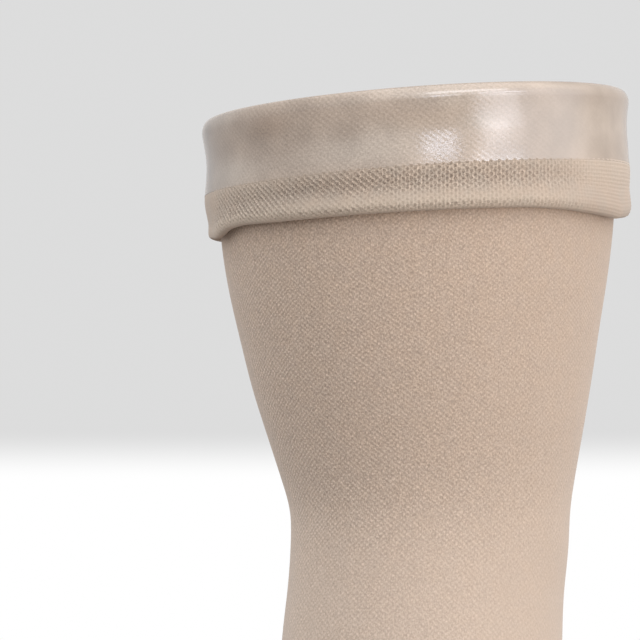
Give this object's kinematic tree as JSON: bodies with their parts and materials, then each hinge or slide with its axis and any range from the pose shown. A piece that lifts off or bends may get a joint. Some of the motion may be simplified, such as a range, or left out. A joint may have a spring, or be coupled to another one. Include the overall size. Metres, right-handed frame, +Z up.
{
  "type": "compression arm sleeve",
  "caption": "Knitted compression sleeve worn from upper arm to wrist, its silicone-coated honeycomb grip band turned outward over the top edge into a cuff.",
  "frame": {"origin": "on the arm's line, level with the middle of the turned-out cuff, where the upper arm holds the sleeve", "axes": "+Z up along the upper arm towards the shoulder, -Y to the front of the arm, +X to the right seen from the front"},
  "size_m": [0.1167, 0.1313, 0.3611],
  "materials": {
    "fine_knit": "matt, dense fine circular knit, warm beige",
    "honeycomb_knit": "matt, open honeycomb knit, warm beige",
    "grip_silicone": "glossy translucent silicone film over the knit",
    "welt_knit": "matt, doubled knit edge, warm beige"
  },
  "bodies": {
    "root": {"sleeve_body": "fine_knit", "grip_band": "honeycomb_knit", "grip_coating": "grip_silicone", "wrist_welt": "welt_knit"}
  },
  "joints": []
}
